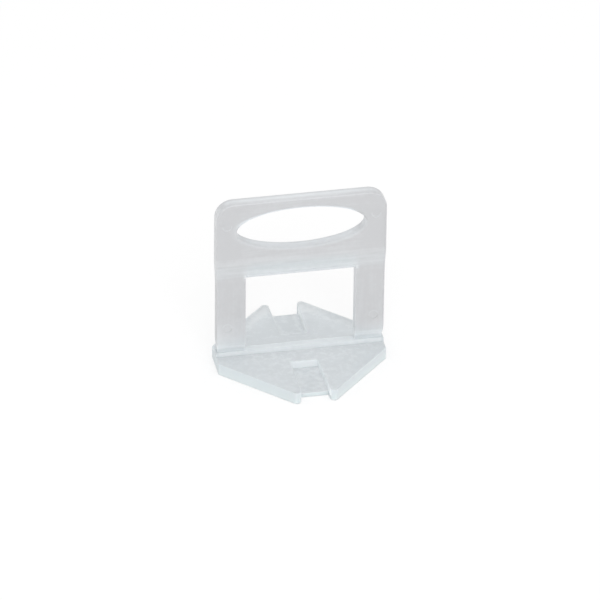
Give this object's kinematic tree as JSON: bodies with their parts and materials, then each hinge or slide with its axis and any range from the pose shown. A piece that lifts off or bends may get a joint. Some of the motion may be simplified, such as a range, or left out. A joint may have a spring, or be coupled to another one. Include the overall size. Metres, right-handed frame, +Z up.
{
  "type": "tile levelling clip",
  "caption": "One-piece moulded tile spacer: hexagonal base plate, two snap-off legs, window for a wedge and a handle with an elliptical finger hole.",
  "frame": {"origin": "middle of the base plate's underside", "axes": "+X along the tile joint, to the right seen from the front; +Y across the joint, towards the back; +Z up, from the base plate to the handle"},
  "size_m": [0.03, 0.03, 0.0326],
  "materials": {
    "natural_polypropylene": "satin, milky translucent, unpigmented"
  },
  "bodies": {
    "root": {"levelling_clip": "natural_polypropylene"}
  },
  "joints": []
}
